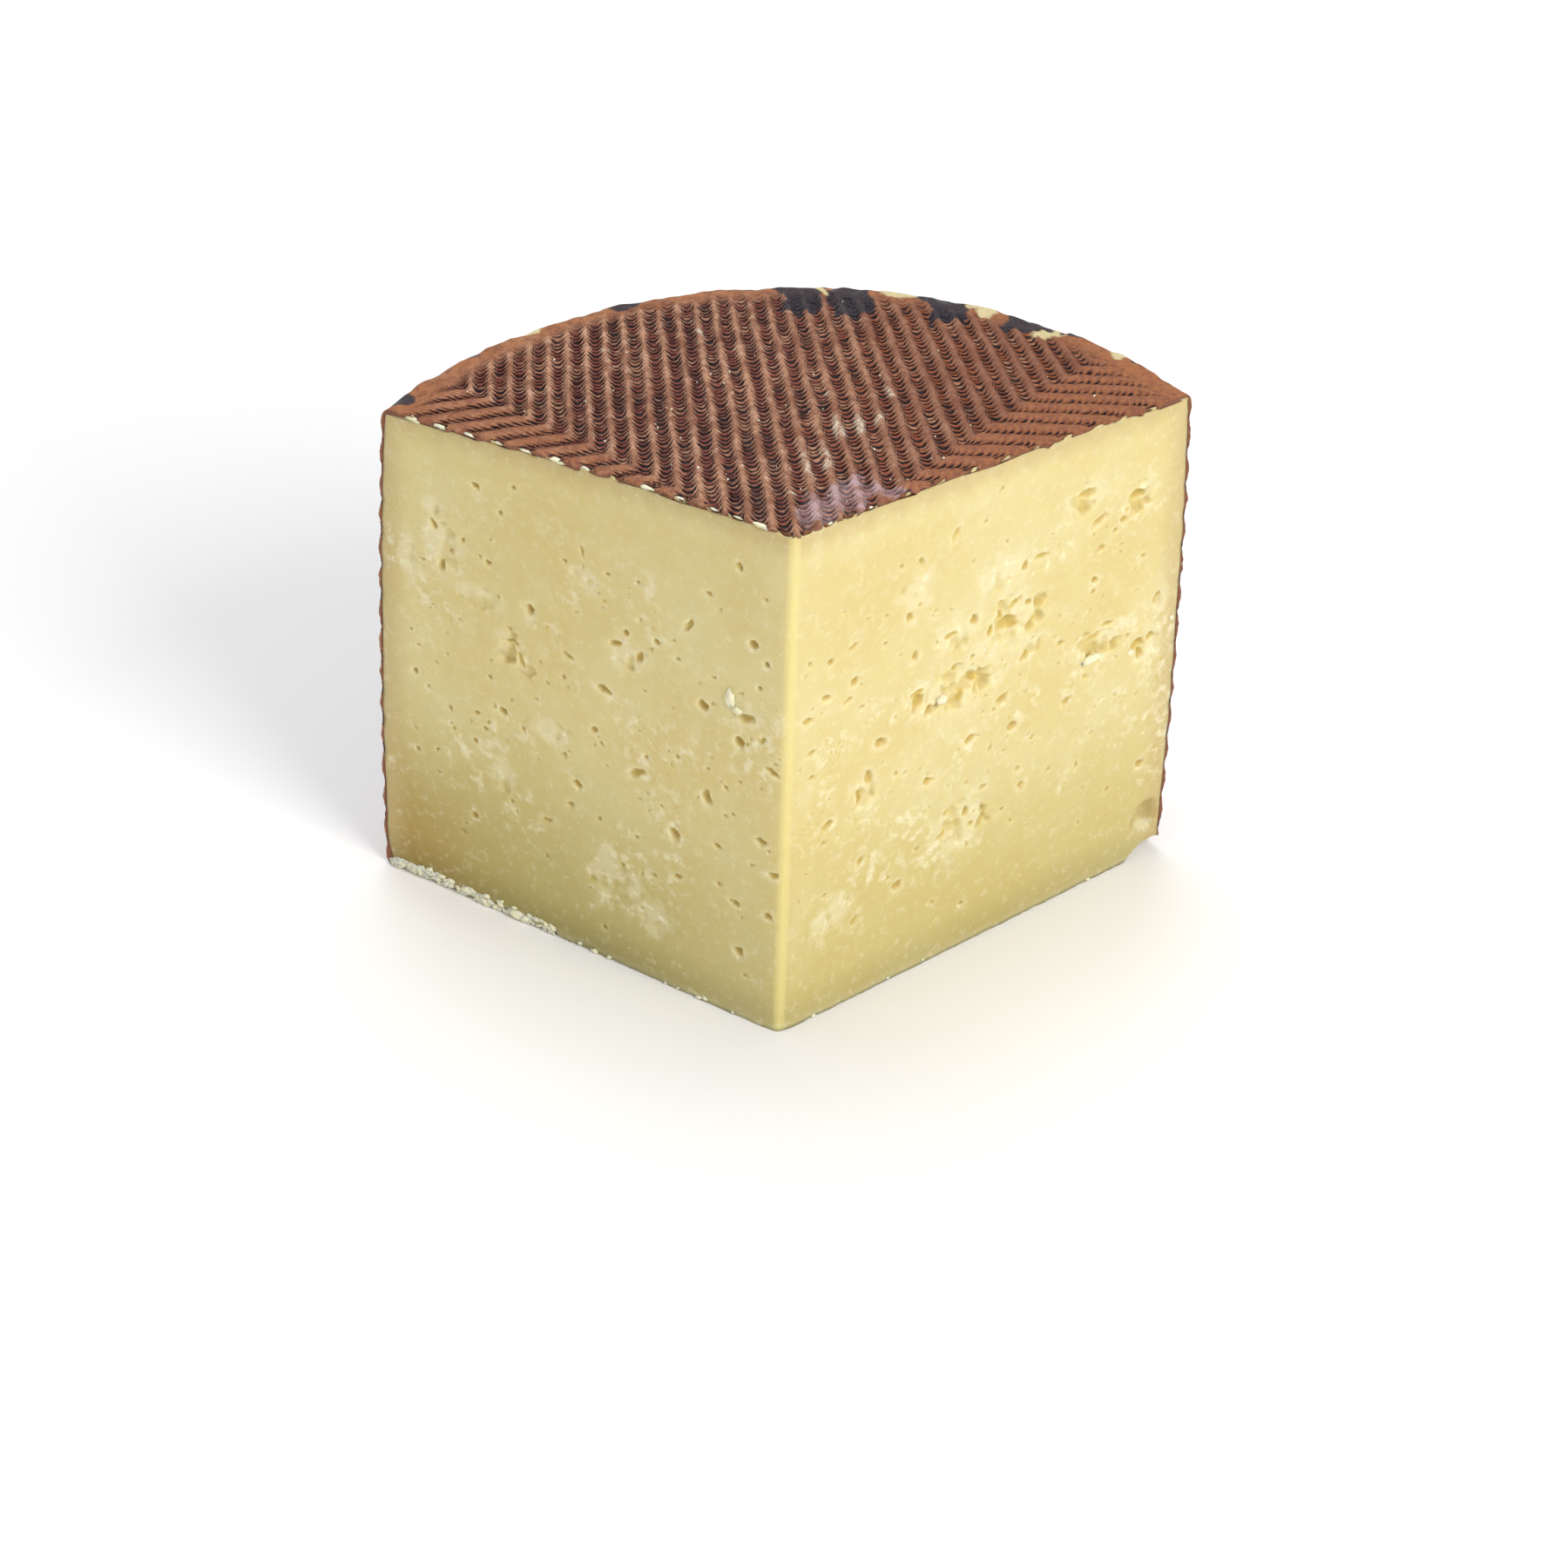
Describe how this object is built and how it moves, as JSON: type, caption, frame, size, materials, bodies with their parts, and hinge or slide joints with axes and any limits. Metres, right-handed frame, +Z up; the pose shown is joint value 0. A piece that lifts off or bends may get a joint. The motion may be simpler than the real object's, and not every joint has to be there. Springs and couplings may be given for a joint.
{
  "type": "wedge of manchego cheese",
  "caption": "Upright wedge cut from a tall wheel of aged manchego, with a ridged pressed rind, a plaited wall print and small eyes in the cut faces.",
  "frame": {"origin": "middle of the wedge's bounds, on the flat base it stands on", "axes": "+Z up, +Y from the tip of the wedge towards the round rind wall, +X from the left cut face to the right one"},
  "size_m": [0.1576, 0.0956, 0.1196],
  "materials": {
    "paste": "cut pressed cheese, cream yellow, matt with a faint oily sheen, small uneven eyes",
    "rind": "oiled brown rind pressed into ridges, darker in the grooves, semi-matt"
  },
  "bodies": {
    "root": {"cheese_wedge": "paste"}
  },
  "joints": []
}
